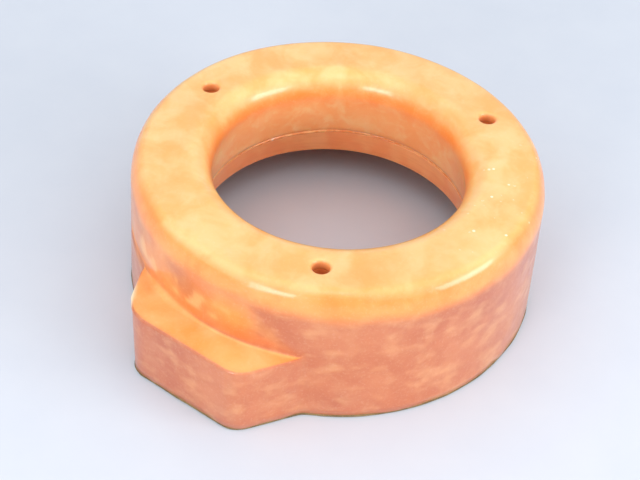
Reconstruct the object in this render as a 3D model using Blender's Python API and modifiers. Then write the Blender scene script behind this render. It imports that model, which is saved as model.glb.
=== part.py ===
"""Toilet flange: a hollow resin ring with a side lug, bonded up from a shell, a collar ring and
sleeves for three floor screws. Metres, +Z up. The object stands on z = 0, centred on its own
bounding box, with the lug towards -Y."""

import math

import bmesh
import bpy
from mathutils import Matrix, Vector

MM = 0.001
GAP = 0.3 * MM  # left between touching pieces

# Ring
HEIGHT = 64.6 * MM
BASE_RADIUS = 89.0 * MM  # outer wall at the floor
WALL_TOP_RADIUS = 87.1 * MM  # outer wall where the top rounding starts
OUTER_ROUND = (7.0 * MM, 12.0 * MM)  # radial, vertical
INNER_ROUND = (9.2 * MM, 11.4 * MM)
SKIN = 4.5 * MM  # top skin, outer wall and lug
BORE_WALL = 4.0 * MM
CAVITY_EASE = 2.0 * MM  # extra radius of the cavity's outer corner, which thickens the wall there
SINK = 0.4 * MM  # how far a face that blends into another is sunk into it, so that they cross

# Bore, which widens downwards
BORE_TOP_RADIUS = 53.6 * MM
BORE_FOOT_RADIUS = 59.5 * MM
COLLAR_FOOT = 18.1 * MM  # height of the collar's lower edge above the floor
COLLAR_EDGE = 1.0 * MM  # chamfer of the collar's lower edge
SEAM_LOW = 29.6 * MM
SEAM_HIGH = 31.4 * MM

# Lug
LUG_REACH = 103.2 * MM  # front face from the bore axis, at the floor
LUG_HALF_FRONT = 26.2 * MM  # half width of the front face, before its corners are rounded
LUG_SIDE_NORMAL = math.radians(57.5)  # direction of a side face's normal, from the lug's axis
LUG_HEIGHT = 32.0 * MM
LUG_CORNER = 11.0 * MM
LUG_FILLET = 9.0 * MM  # between a side face and the ring
LUG_TOP_FILLET = 3.0 * MM  # between the lug's top and the ring
LUG_EDGE = 1.6 * MM

# Screw holes
HOLE_CIRCLE_RADIUS = 70.2 * MM
HOLE_RADIUS = 3.5 * MM
HOLE_RIM = 0.8 * MM
HOLE_FLARE = (0.3, 1.0, 1.5)  # the rim's steps outwards, in rim radii; the last is above the face
HOLE_ANGLES = [math.radians(a) for a in (59.3, 179.3, 299.3)]

# Pieces under the skin
TUBE_RADIUS = 5.0 * MM
BOSS_RADIUS = 8.5 * MM
BOSS_HEIGHT = 5.0 * MM
SADDLE_FOOT = 24.0 * MM
SADDLE_HEIGHT = 9.0 * MM
SADDLE_WIDTH = 17.0 * MM
SADDLE_BACK = 65.2 * MM
SADDLE_EDGE = 1.5 * MM
STRAP = 1.5 * MM
STRAP_FOOT = 22.0 * MM
STRAP_TOP = 40.0 * MM
BEAD_STANDS_PROUD = 0.45 * MM
GASKET = 1.2 * MM
GASKET_WIDTH = 5.2 * MM
GASKET_INSET = 0.2 * MM
TRIM = 4.0 * MM  # waste below the floor that is cut off the shell

SHELL_STEPS = 96
RING_STEPS = 72
HOLE_STEPS = 24
ROUND_STEPS = 5
ARC_STEP = math.radians(4)
SHARP_EDGE = math.radians(35)  # shading breaks at an edge sharper than this
FLAT_EDGE = math.radians(0.1)  # faces that meet more flatly than this are one face
SAME_POINT = 1e-5

# The lug makes the object longer towards -Y, so the bore axis stands off the centre of its box.
BORE_AXIS_Y = (LUG_REACH - BASE_RADIUS) / 2

ORANGE = (0.86, 0.40, 0.15)
COLLAR_ORANGE = (0.76, 0.33, 0.11)
RESIN_AMBER = (0.88, 0.52, 0.24)
GLASS_MAT = (0.70, 0.47, 0.26)
BRASS = (0.80, 0.58, 0.26)
GASKET_TAN = (0.42, 0.33, 0.20)


def clear_scene():
    for obj in list(bpy.data.objects):
        bpy.data.objects.remove(obj, do_unlink=True)


def new_collection(name):
    collection = bpy.data.collections.new(name)
    bpy.context.scene.collection.children.link(collection)
    return collection


def material(name, colour, roughness, metallic=0.0):
    made = bpy.data.materials.new(name)
    made.use_nodes = True
    shader = made.node_tree.nodes["Principled BSDF"]
    shader.inputs["Base Color"].default_value = (*colour, 1.0)
    shader.inputs["Roughness"].default_value = roughness
    shader.inputs["Metallic"].default_value = metallic
    made.diffuse_color = (*colour, 1.0)
    return made


def add_object(name, mesh, collection, axis):
    obj = bpy.data.objects.new(name, mesh)
    collection.objects.link(obj)
    obj.parent = axis
    return obj


def add_cutter(name, mesh, collection, axis):
    cutter = add_object(name, mesh, collection, axis)
    cutter.hide_render = True
    cutter.display_type = "WIRE"
    return cutter


def finish(obj, surface):
    """Gives a piece its material and smooth shading that breaks at sharp edges."""
    obj.data.materials.clear()
    obj.data.materials.append(surface)
    obj.data.shade_smooth()
    obj.data.set_sharp_from_angle(angle=SHARP_EDGE)


def boolean(obj, other, operation="DIFFERENCE"):
    modifier = obj.modifiers.new(f"{operation.lower()} {other.name}", "BOOLEAN")
    modifier.operation = operation
    modifier.solver = "EXACT"
    modifier.object = other


def turned(name, profile, steps, collection, axis, place=add_object):
    """A closed profile of (radius, height) points, turned about the axis. The profile runs down its
    outer side."""
    mesh = bpy.data.meshes.new(name)
    points = [(radius, 0, height) for radius, height in profile]
    edges = [(i, (i + 1) % len(points)) for i in range(len(points))]
    mesh.from_pydata(points, edges, [])
    obj = place(name, mesh, collection, axis)
    screw = obj.modifiers.new("turn", "SCREW")
    screw.steps = screw.render_steps = steps
    screw.use_merge_vertices = True
    screw.merge_threshold = SAME_POINT
    return obj


def cylinder_mesh(name, low_radius, high_radius, low, high):
    mesh = bpy.data.meshes.new(name)
    bm = bmesh.new()
    bmesh.ops.create_cone(
        bm,
        cap_ends=True,
        segments=HOLE_STEPS,
        radius1=low_radius,
        radius2=high_radius,
        depth=high - low,
        matrix=Matrix.Translation((0, 0, (low + high) / 2)),
    )
    bm.to_mesh(mesh)
    bm.free()
    return mesh


def box_mesh(name, low, high):
    mesh = bpy.data.meshes.new(name)
    size = Vector(high) - Vector(low)
    middle = (Vector(high) + Vector(low)) / 2
    bm = bmesh.new()
    place = Matrix.Translation(middle) @ Matrix.Diagonal((*size, 1))
    bmesh.ops.create_cube(bm, size=1, matrix=place)
    bm.to_mesh(mesh)
    bm.free()
    return mesh


def slab_mesh(name, outlines, low, high):
    """A flat slab from closed 2D outlines, where an outline inside another is a hole."""
    curve = bpy.data.curves.new(name, "CURVE")
    curve.dimensions = "2D"
    curve.fill_mode = "BOTH"
    curve.extrude = (high - low) / 2
    for outline in outlines:
        spline = curve.splines.new("POLY")
        spline.points.add(len(outline) - 1)
        for point, (x, y) in zip(spline.points, outline):
            point.co = (x, y, 0, 1)
        spline.use_cyclic_u = True
    guide = bpy.data.objects.new(name, curve)
    bpy.context.scene.collection.objects.link(guide)
    graph = bpy.context.evaluated_depsgraph_get()
    mesh = bpy.data.meshes.new_from_object(guide.evaluated_get(graph))
    bpy.data.objects.remove(guide)
    mesh.transform(Matrix.Translation((0, 0, (low + high) / 2)))
    bm = bmesh.new()
    bm.from_mesh(mesh)
    bmesh.ops.remove_doubles(bm, verts=bm.verts, dist=SAME_POINT)
    bmesh.ops.dissolve_limit(bm, angle_limit=FLAT_EDGE, verts=bm.verts, edges=bm.edges)
    bmesh.ops.recalc_face_normals(bm, faces=bm.faces)
    bm.to_mesh(mesh)
    bm.free()
    return mesh


def quarter(centre, radii, start, turn):
    """Points of a quarter ellipse in a profile, from the start angle."""
    angles = [start + turn * i / ROUND_STEPS for i in range(ROUND_STEPS + 1)]
    return [
        (centre[0] + radii[0] * math.cos(a), centre[1] + radii[1] * math.sin(a)) for a in angles
    ]


def bore_radius(height):
    wall_top = HEIGHT - INNER_ROUND[1]
    share = (wall_top - height) / (wall_top - COLLAR_FOOT)
    return BORE_TOP_RADIUS + (BORE_FOOT_RADIUS - BORE_TOP_RADIUS) * share


def outer_radius(height):
    wall_top = HEIGHT - OUTER_ROUND[1]
    return BASE_RADIUS + (WALL_TOP_RADIUS - BASE_RADIUS) * height / wall_top


def taper(mesh):
    """Draws a slab's outline in towards the bore axis with height, at the ring's own draft."""
    for vertex in mesh.vertices:
        share = outer_radius(vertex.co.z) / BASE_RADIUS
        vertex.co.x *= share
        vertex.co.y *= share


def arc(centre, radius, start, end):
    count = max(2, math.ceil(abs(end - start) / ARC_STEP))
    angles = [start + (end - start) * i / count for i in range(count + 1)]
    return [(centre[0] + radius * math.cos(a), centre[1] + radius * math.sin(a)) for a in angles]


def lug_side(ring_radius, inset):
    """One half of the lug's outline, from the middle of its front to the ring. The lug's axis is the
    first coordinate. The inset moves every face inwards."""
    front = LUG_REACH - inset
    normal = Vector((math.cos(LUG_SIDE_NORMAL), math.sin(LUG_SIDE_NORMAL)))
    along = Vector((normal.y, -normal.x))
    side = normal.dot(Vector((LUG_REACH, LUG_HALF_FRONT))) - inset
    corner = LUG_CORNER - inset
    fillet = LUG_FILLET + inset
    corner_axis = front - corner
    corner_centre = (corner_axis, (side - corner - normal.x * corner_axis) / normal.y)
    reach = math.sqrt((ring_radius + fillet) ** 2 - (side + fillet) ** 2)
    fillet_centre = normal * (side + fillet) + along * reach
    towards_ring = math.atan2(-fillet_centre.y, -fillet_centre.x)
    points = arc(corner_centre, corner, 0, LUG_SIDE_NORMAL)
    points += arc(fillet_centre, fillet, LUG_SIDE_NORMAL - math.pi, towards_ring)
    return points


def to_plan(points):
    """Turns outline points from the lug's axis to -Y."""
    return [(y, -x) for x, y in points]


def lug_outline(ring_radius, inset, back_radius):
    """The lug alone, closed by an arc inside the ring's wall."""
    side = lug_side(ring_radius, inset)
    end = math.atan2(side[-1][1], side[-1][0])
    back = arc((0, 0), back_radius, end, -end)
    other = [(x, -y) for x, y in reversed(side)]
    return to_plan(side + back + other)


def base_outline(inset):
    """Ring and lug together, as they meet the floor."""
    ring_radius = BASE_RADIUS - inset
    side = lug_side(ring_radius, inset)
    end = math.atan2(side[-1][1], side[-1][0])
    round_the_back = arc((0, 0), ring_radius, end, 2 * math.pi - end)[1:-1]
    other = [(x, -y) for x, y in reversed(side)]
    return to_plan(side + round_the_back + other)


def shell_profile():
    """The ring's section, from the outer end of the flat top, down the outside and back inside. It
    runs below the floor, and is trimmed later with the lug."""
    foot = -TRIM
    outer_centre = (WALL_TOP_RADIUS - OUTER_ROUND[0], HEIGHT - OUTER_ROUND[1])
    inner_centre = (BORE_TOP_RADIUS + INNER_ROUND[0], HEIGHT - INNER_ROUND[1])
    outer_inside = (OUTER_ROUND[0] - SKIN + CAVITY_EASE, OUTER_ROUND[1] - SKIN)
    inner_inside = (INNER_ROUND[0] - BORE_WALL, INNER_ROUND[1] - SKIN)
    cavity_corner = (outer_centre[0] - CAVITY_EASE, outer_centre[1])
    outside = quarter(outer_centre, OUTER_ROUND, math.pi / 2, -math.pi / 2)
    outside.append((outer_radius(foot), foot))
    cavity = [(outer_radius(foot) - SKIN, foot)]
    cavity += quarter(cavity_corner, outer_inside, 0, math.pi / 2)
    cavity += quarter(inner_centre, inner_inside, math.pi / 2, math.pi / 2)
    cavity.append((bore_radius(SEAM_HIGH) + BORE_WALL, SEAM_HIGH))
    bore = [(bore_radius(SEAM_HIGH), SEAM_HIGH)]
    bore += quarter(inner_centre, INNER_ROUND, math.pi, -math.pi / 2)
    return outside + cavity + bore


def lug_body(cutters, axis):
    """The lug as a solid block that reaches into the ring's wall, with its top edge rounded."""
    outline = lug_outline(BASE_RADIUS - SINK, 0, BASE_RADIUS - SKIN / 2)
    mesh = slab_mesh("lug_block", [outline], -TRIM, LUG_HEIGHT)
    taper(mesh)
    block = add_cutter("lug_block", mesh, cutters, axis)
    bevel = block.modifiers.new("round the top edge", "BEVEL")
    bevel.width = LUG_EDGE
    bevel.segments = 2
    bevel.limit_method = "VGROUP"
    top_edge = block.vertex_groups.new(name="top edge")
    chosen = [v.index for v in mesh.vertices if v.co.z > LUG_HEIGHT - GAP]
    top_edge.add(chosen, 1.0, "REPLACE")
    bevel.vertex_group = top_edge.name
    return block


def lug_top_fillet(cutters, axis):
    """The concave fillet between the lug's top and the ring, kept within the lug's outline."""
    wall = outer_radius(LUG_HEIGHT + LUG_TOP_FILLET) - SINK / 4
    centre = (wall + LUG_TOP_FILLET, LUG_HEIGHT + LUG_TOP_FILLET - SINK / 4)
    radii = (LUG_TOP_FILLET, LUG_TOP_FILLET)
    hollow = quarter(centre, radii, math.pi, math.pi / 2)
    inside = wall - SKIN / 2
    below = LUG_HEIGHT - SKIN / 2
    profile = [(inside, hollow[0][1])] + hollow + [(hollow[-1][0], below), (inside, below)]
    ring = turned("lug_top_fillet", profile, SHELL_STEPS, cutters, axis, add_cutter)
    outline = lug_outline(wall, LUG_EDGE, inside - SKIN / 2)
    limit_mesh = slab_mesh("lug_fillet_limit", [outline], below - MM, centre[1] + MM)
    limit = add_cutter("lug_fillet_limit", limit_mesh, cutters, axis)
    boolean(ring, limit, "INTERSECT")
    return ring


def lug_hollow(cutters, axis):
    ring_inside = BASE_RADIUS - SKIN - SINK
    outline = lug_outline(ring_inside, SKIN, ring_inside - SKIN)
    mesh = slab_mesh("lug_hollow", [outline], -2 * TRIM, LUG_HEIGHT - SKIN)
    taper(mesh)
    return add_cutter("lug_hollow", mesh, cutters, axis)


def drill_mesh():
    """A drill through the top skin, whose upper end flares to ease the hole's rim."""
    rim_foot = HEIGHT - HOLE_RIM
    mesh = cylinder_mesh("drill", HOLE_RADIUS, HOLE_RADIUS, HEIGHT - 3 * SKIN, rim_foot)
    bm = bmesh.new()
    bm.from_mesh(mesh)
    radius = HOLE_RADIUS
    height = rim_foot
    for share in HOLE_FLARE:
        top = max(bm.faces, key=lambda face: face.calc_center_median().z)
        raised = bmesh.ops.extrude_discrete_faces(bm, faces=[top])["faces"][0]
        new_radius = HOLE_RADIUS + HOLE_RIM * share
        new_height = rim_foot + HOLE_RIM * math.sqrt(share)
        scale = Matrix.Diagonal((new_radius / radius, new_radius / radius, 1, 1))
        raise_it = Matrix.Translation((0, 0, new_height - height))
        bmesh.ops.transform(bm, matrix=raise_it @ scale, verts=raised.verts)
        radius = new_radius
        height = new_height
    bm.to_mesh(mesh)
    bm.free()
    return mesh


def screw_hole_cutters(cutters, axis):
    drill = drill_mesh()
    made = []
    for number, angle in enumerate(HOLE_ANGLES, start=1):
        cutter = add_cutter(f"drill_{number}", drill, cutters, axis)
        cutter.location = on_hole_circle(angle)
        made.append(cutter)
    return made


def on_hole_circle(angle):
    return (HOLE_CIRCLE_RADIUS * math.cos(angle), HOLE_CIRCLE_RADIUS * math.sin(angle), 0)


def waste(cutters, axis):
    reach = LUG_REACH + TRIM
    mesh = box_mesh("waste", (-reach, -reach, -3 * TRIM), (reach, reach, GASKET + GAP))
    return add_cutter("waste", mesh, cutters, axis)


def make_shell(parts, cutters, axis, surface):
    shell = turned("shell_moulding", shell_profile(), SHELL_STEPS, parts, axis)
    boolean(shell, lug_body(cutters, axis), "UNION")
    boolean(shell, lug_top_fillet(cutters, axis), "UNION")
    boolean(shell, lug_hollow(cutters, axis))
    boolean(shell, waste(cutters, axis))
    for cutter in screw_hole_cutters(cutters, axis):
        boolean(shell, cutter)
    finish(shell, surface)


def make_collar(parts, axis, surface):
    low = bore_radius(COLLAR_FOOT)
    high = bore_radius(SEAM_LOW)
    edge_top = COLLAR_FOOT + COLLAR_EDGE
    profile = [
        (high + BORE_WALL, SEAM_LOW),
        (low + BORE_WALL, edge_top),
        (low + BORE_WALL - COLLAR_EDGE, COLLAR_FOOT),
        (low + COLLAR_EDGE, COLLAR_FOOT),
        (low, edge_top),
        (high, SEAM_LOW),
    ]
    finish(turned("collar_ring", profile, RING_STEPS, parts, axis), surface)


def make_bead(parts, axis, surface):
    low = SEAM_LOW + GAP
    high = SEAM_HIGH - GAP
    middle = (low + high) / 2
    outer = bore_radius(middle) + BORE_WALL
    inner = bore_radius(middle)
    profile = [
        (outer, high),
        (outer, low),
        (inner, low),
        (inner - BEAD_STANDS_PROUD, middle),
        (inner, high),
    ]
    finish(turned("seam_bead", profile, RING_STEPS, parts, axis), surface)


def make_strap(parts, axis, surface):
    low = bore_radius(STRAP_FOOT) + BORE_WALL + GAP
    high = bore_radius(STRAP_TOP) + BORE_WALL + GAP
    profile = [
        (high + STRAP, STRAP_TOP),
        (low + STRAP, STRAP_FOOT),
        (low, STRAP_FOOT),
        (high, STRAP_TOP),
    ]
    finish(turned("joint_strap", profile, RING_STEPS, parts, axis), surface)


def make_gasket(parts, axis, surface):
    outlines = [base_outline(GASKET_INSET), base_outline(GASKET_WIDTH)]
    gasket = add_object("base_gasket", slab_mesh("base_gasket", outlines, 0, GASKET), parts, axis)
    finish(gasket, surface)


def sleeve_mesh(name, outer, inner, low, high, collection, axis):
    """A plain tube about its own axis, as an object with a Screw modifier."""
    profile = [(outer, high), (outer, low), (inner, low), (inner, high)]
    return turned(name, profile, HOLE_STEPS, collection, axis)


def make_tubes(parts, cutters, axis, brass, amber):
    top = HEIGHT - SKIN - GAP
    around = TUBE_RADIUS + GAP
    saddle_top = SADDLE_FOOT + SADDLE_HEIGHT
    half = SADDLE_WIDTH / 2
    for number, angle in enumerate(HOLE_ANGLES, start=1):
        place = on_hole_circle(angle)
        tube = sleeve_mesh(
            f"spacer_tube_{number}", TUBE_RADIUS, HOLE_RADIUS, COLLAR_FOOT, top, parts, axis
        )
        boss = sleeve_mesh(
            f"tube_boss_{number}", BOSS_RADIUS, around, top - BOSS_HEIGHT, top, parts, axis
        )
        low = (SADDLE_BACK - HOLE_CIRCLE_RADIUS, -half, SADDLE_FOOT)
        mesh = box_mesh(f"tube_saddle_{number}", low, (BOSS_RADIUS, half, saddle_top))
        saddle = add_object(f"tube_saddle_{number}", mesh, parts, axis)
        for piece in (tube, boss, saddle):
            piece.location = place
            piece.rotation_euler = (0, 0, angle)
        bevel = saddle.modifiers.new("round the edges", "BEVEL")
        bevel.width = SADDLE_EDGE
        bevel.segments = 2
        bore_mesh = cylinder_mesh("saddle_bore", around, around, SADDLE_FOOT - MM, saddle_top + MM)
        bore = add_cutter(f"saddle_bore_{number}", bore_mesh, cutters, axis)
        bore.location = place
        boolean(saddle, bore)
        finish(tube, brass)
        finish(boss, amber)
        finish(saddle, amber)


def main():
    clear_scene()
    parts = new_collection("toilet_flange")
    cutters = new_collection("cutters")
    axis = bpy.data.objects.new("bore_axis", None)
    axis.location = (0, BORE_AXIS_Y, 0)
    parts.objects.link(axis)
    orange = material("moulded resin", ORANGE, roughness=0.32)
    collar_orange = material("collar resin", COLLAR_ORANGE, roughness=0.36)
    amber = material("laminating resin", RESIN_AMBER, roughness=0.40)
    glass_mat = material("glass mat", GLASS_MAT, roughness=0.55)
    brass = material("brass", BRASS, roughness=0.30, metallic=1.0)
    tan = material("gasket foam", GASKET_TAN, roughness=0.85)
    make_shell(parts, cutters, axis, orange)
    make_collar(parts, axis, collar_orange)
    make_bead(parts, axis, amber)
    make_strap(parts, axis, glass_mat)
    make_gasket(parts, axis, tan)
    make_tubes(parts, cutters, axis, brass, amber)


main()
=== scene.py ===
"""Looks of the toilet flange: a cast resin ring with a side lug, seen on a pale floor.

Everything is in metres in the CAD frame: +Z up, the object on z = 0, the lug towards -Y. A ring's
section is written as (radius, height) about the bore's axis. An angle about that axis is counted
from the lug, anticlockwise seen from above."""

import math

import bmesh
import bpy
import numpy as np
from mathutils import Matrix, Vector, noise


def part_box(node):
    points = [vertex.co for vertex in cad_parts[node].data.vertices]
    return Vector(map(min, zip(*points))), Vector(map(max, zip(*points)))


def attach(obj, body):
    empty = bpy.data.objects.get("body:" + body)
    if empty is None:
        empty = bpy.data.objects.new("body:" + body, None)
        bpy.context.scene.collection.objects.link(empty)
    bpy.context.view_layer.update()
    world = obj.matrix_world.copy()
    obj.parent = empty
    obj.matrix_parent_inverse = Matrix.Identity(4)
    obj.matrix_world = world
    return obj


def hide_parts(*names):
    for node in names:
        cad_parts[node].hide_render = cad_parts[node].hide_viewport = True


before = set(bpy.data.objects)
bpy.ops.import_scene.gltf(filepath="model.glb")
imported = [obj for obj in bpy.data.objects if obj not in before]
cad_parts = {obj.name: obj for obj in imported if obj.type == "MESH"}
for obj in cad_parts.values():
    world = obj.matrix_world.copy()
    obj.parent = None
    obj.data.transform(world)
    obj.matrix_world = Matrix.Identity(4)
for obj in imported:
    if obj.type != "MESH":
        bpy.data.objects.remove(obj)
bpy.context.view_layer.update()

MM = 0.001


def box(node):
    low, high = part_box(node)
    return Vector(low), Vector(high)


# Driving sizes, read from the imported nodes
SHELL_LOW, SHELL_HIGH = box("shell_moulding")
GASKET_HIGH = box("base_gasket")[1]
COLLAR_LOW, COLLAR_HIGH = box("collar_ring")
BEAD_LOW, BEAD_HIGH = box("seam_bead")
STRAP_LOW, STRAP_HIGH = box("joint_strap")
AXIS_Y = (COLLAR_LOW.y + COLLAR_HIGH.y) / 2
HEIGHT = SHELL_HIGH.z
BASE_RADIUS = SHELL_HIGH.y - AXIS_Y
LUG_REACH = AXIS_Y - SHELL_LOW.y
FOOT = 0.62 * GASKET_HIGH.z  # the shell presses into the foam

# Sizes repeated from the CAD design
WALL_TOP_RADIUS = 87.1 * MM
OUTER_ROUND = (7.0 * MM, 12.0 * MM)
INNER_ROUND = (9.2 * MM, 11.4 * MM)
SKIN = 4.5 * MM
BORE_WALL = 4.0 * MM
BORE_TOP_RADIUS = 53.6 * MM
BORE_FOOT_RADIUS = 59.5 * MM
LUG_HALF_FRONT = 26.2 * MM
LUG_SIDE_NORMAL = math.radians(57.5)
LUG_HEIGHT = 32.0 * MM
LUG_CORNER = 11.0 * MM
LUG_FILLET = 9.0 * MM
HOLE_RADIUS = 3.5 * MM
HOLE_CIRCLE_RADIUS = 70.2 * MM
HOLE_ANGLES = [math.radians(a) for a in (59.3, 179.3, 299.3)]  # from +X
STRAP = 1.5 * MM
GASKET_WIDTH = 5.2 * MM

# Centres of the roundings in the ring's section
OUTER_CENTRE = (WALL_TOP_RADIUS - OUTER_ROUND[0], HEIGHT - OUTER_ROUND[1])
INNER_CENTRE = (BORE_TOP_RADIUS + INNER_ROUND[0], HEIGHT - INNER_ROUND[1])

# Small radii tuned to the photo; in the CAD design they are 3.0, 1.6 and 0.8 mm
LUG_TOP_FILLET = 1.3 * MM
LUG_EDGE = 1.2 * MM
HOLE_RIM = 1.4 * MM

# Painted shade of a small pit on the outer rounding
PIT_RADIUS = 82.4 * MM
PIT_ANGLE = math.radians(38)
PIT_SIZE = 0.8 * MM

LOWEST_SATIN = 0.285  # with a resin's roughness down to 0.26, small dark marks showed on the surface
FLOOR_GAP = 0.2 * MM  # keeps the floor clear of the gasket's underside


def smooth(low, high, value):
    share = min(1.0, max(0.0, (value - low) / (high - low)))
    return share * share * (3 - 2 * share)


def mix(a, b, share):
    return a + (b - a) * share


def ellipse(centre, radii, start, turn, steps, end=True):
    """Section points along an elliptical arc."""
    count = steps + 1 if end else steps
    points = []
    for i in range(count):
        angle = start + turn * i / steps
        points.append((centre[0] + radii[0] * math.cos(angle), centre[1] + radii[1] * math.sin(angle)))
    return points


def line(start, end, steps, last=False):
    count = steps + 1 if last else steps
    return [(mix(start[0], end[0], i / steps), mix(start[1], end[1], i / steps)) for i in range(count)]


def wall_radius(height):
    return mix(BASE_RADIUS, WALL_TOP_RADIUS, height / OUTER_CENTRE[1])


def bore_radius(height):
    wall_top = INNER_CENTRE[1]
    return mix(BORE_TOP_RADIUS, BORE_FOOT_RADIUS, (wall_top - height) / (wall_top - COLLAR_LOW.z))


def drafted(outline, height):
    """The distance of an outline drawn at the floor, once the wall's draft has brought it in."""
    return outline * wall_radius(height) / BASE_RADIUS


# ---------------------------------------------------------------------------------------------
# The moulded shell
# ---------------------------------------------------------------------------------------------

SHELL_SHARP = 50  # degrees between faces that meet in a sharp edge
FINE_STEP = math.radians(0.7)
COARSE_STEP = math.radians(2.0)
FINE_HALF = math.radians(38)  # half of the fine stretch, which takes in the lug


def plan_arc(centre, radius, start, end):
    steps = 24
    angles = [mix(start, end, i / steps) for i in range(steps + 1)]
    return [(centre[0] + radius * math.cos(a), centre[1] + radius * math.sin(a)) for a in angles]


def half_outline(inset):
    """Plan points of the lug's outline at the floor, from its middle to the ring, with the lug's
    axis as the first coordinate. The inset moves every face inwards."""
    front = LUG_REACH - inset
    normal = Vector((math.cos(LUG_SIDE_NORMAL), math.sin(LUG_SIDE_NORMAL)))
    along = Vector((normal.y, -normal.x))
    side = normal.dot(Vector((LUG_REACH, LUG_HALF_FRONT))) - inset
    corner = LUG_CORNER - inset
    fillet = LUG_FILLET + inset
    ring = BASE_RADIUS - inset
    corner_axis = front - corner
    corner_centre = (corner_axis, (side - corner - normal.x * corner_axis) / normal.y)
    reach = math.sqrt((ring + fillet) ** 2 - (side + fillet) ** 2)
    fillet_centre = normal * (side + fillet) + along * reach
    towards_ring = math.atan2(-fillet_centre.y, -fillet_centre.x)
    points = [(front, 0.0)]
    points += plan_arc(corner_centre, corner, 0, LUG_SIDE_NORMAL)
    points += plan_arc(fillet_centre, fillet, LUG_SIDE_NORMAL - math.pi, towards_ring)
    return points


def outline_table(inset):
    """Angles from the lug's axis, and the outline's distance from the bore's axis there."""
    points = half_outline(inset)
    parts = 12
    dense = []
    for (x0, y0), (x1, y1) in zip(points, points[1:]):
        for i in range(parts):
            dense.append((mix(x0, x1, i / parts), mix(y0, y1, i / parts)))
    dense.append(points[-1])
    angles = np.array([math.atan2(y, x) for x, y in dense])
    radii = np.array([math.hypot(x, y) for x, y in dense])
    return angles, radii


OUTLINE = outline_table(0)


def outline_radius(table, angle, ring):
    angles, radii = table
    turn = abs(angle)
    if turn >= angles[-1]:
        return ring
    return float(np.interp(turn, angles, radii))


def ring_angles():
    """Angles from the lug, finer across the lug."""
    half = int(FINE_HALF / FINE_STEP)
    fine = [i * FINE_STEP for i in range(-half, half + 1)]
    rest = 2 * math.pi - 2 * half * FINE_STEP
    steps = round(rest / COARSE_STEP)
    return fine + [half * FINE_STEP + rest * i / steps for i in range(1, steps)]


def lip(angle):
    """The bulge and thin flash that stand out from the lug's left corner, from 0 to 1."""
    degrees = math.degrees(angle)
    peak = min((degrees + 28.5) / 9.0, (-13.5 - degrees) / 5.5)
    return min(1.0, max(0.0, peak))


def seam_shift(angle):
    """How far the seam climbs on one side of the bore, because the collar was fitted by hand."""
    turn = math.degrees(angle) % 360
    return 1.0 * MM * smooth(80, 120, turn) * (1 - smooth(205, 245, turn))


def seam_groove(angle):
    """How open the seam's groove is: wiped flush in one stretch, otherwise 1."""
    turn = math.degrees(angle) % 360
    return 1 - 0.85 * smooth(238, 256, turn) * (1 - smooth(300, 330, turn))


def seam_shows(angle):
    """1 where the adhesive stands in a ragged line, 0 where it lies low."""
    turn = math.degrees(angle) % 360
    return smooth(195, 225, turn) * (1 - smooth(250, 262, turn))


def fillet_at(angle):
    """The lug's top meets the wall in a wide soft curve on the left and a tight one on the right."""
    return LUG_TOP_FILLET * (1 + 1.7 * (1 - smooth(-16, 6, math.degrees(angle))))


def outer_section(angle, outline):
    """From the outer end of the flat top down to the foot, over the lug where there is one."""
    points = ellipse(OUTER_CENTRE, OUTER_ROUND, math.pi / 2, -math.pi / 2, 12)
    blend_top = LUG_HEIGHT + 5 * MM
    points += line(points[-1], (wall_radius(blend_top), blend_top), 8)[1:]
    shrink = wall_radius(LUG_HEIGHT) / BASE_RADIUS
    depth = (outline - BASE_RADIUS) * shrink
    fillet = min(fillet_at(angle), 0.40 * depth)
    edge = min(LUG_EDGE, 0.30 * depth)
    wall = wall_radius(LUG_HEIGHT)
    reach = outline * shrink
    over = line((wall_radius(blend_top), blend_top), (wall, LUG_HEIGHT + fillet), 3)
    fillet_centre = (wall + fillet, LUG_HEIGHT + fillet)
    over += ellipse(fillet_centre, (fillet, fillet), math.pi, math.pi / 2, 6, end=False)
    over += line((wall + fillet, LUG_HEIGHT), (reach - edge, LUG_HEIGHT), 6)
    over += ellipse((reach - edge, LUG_HEIGHT - edge), (edge, edge), math.pi / 2, -math.pi / 2, 6)
    blend_low = LUG_HEIGHT - LUG_EDGE - 1.2 * MM
    over += line(over[-1], (drafted(outline, blend_low), blend_low), 2, last=True)[1:]
    plain_start = (wall_radius(blend_top), blend_top)
    plain_end = (wall_radius(blend_low), blend_low)
    plain = line(plain_start, plain_end, len(over) - 1, last=True)
    share = smooth(0, 2.0 * MM, depth)
    points += [(mix(a[0], b[0], share), mix(a[1], b[1], share)) for a, b in zip(plain, over)]
    foot_radius = drafted(outline, FOOT)
    points += line(points[-1], (foot_radius, FOOT + 0.5 * MM), 10, last=True)[1:]
    points.append((foot_radius - 0.5 * MM, FOOT))
    return points


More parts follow.
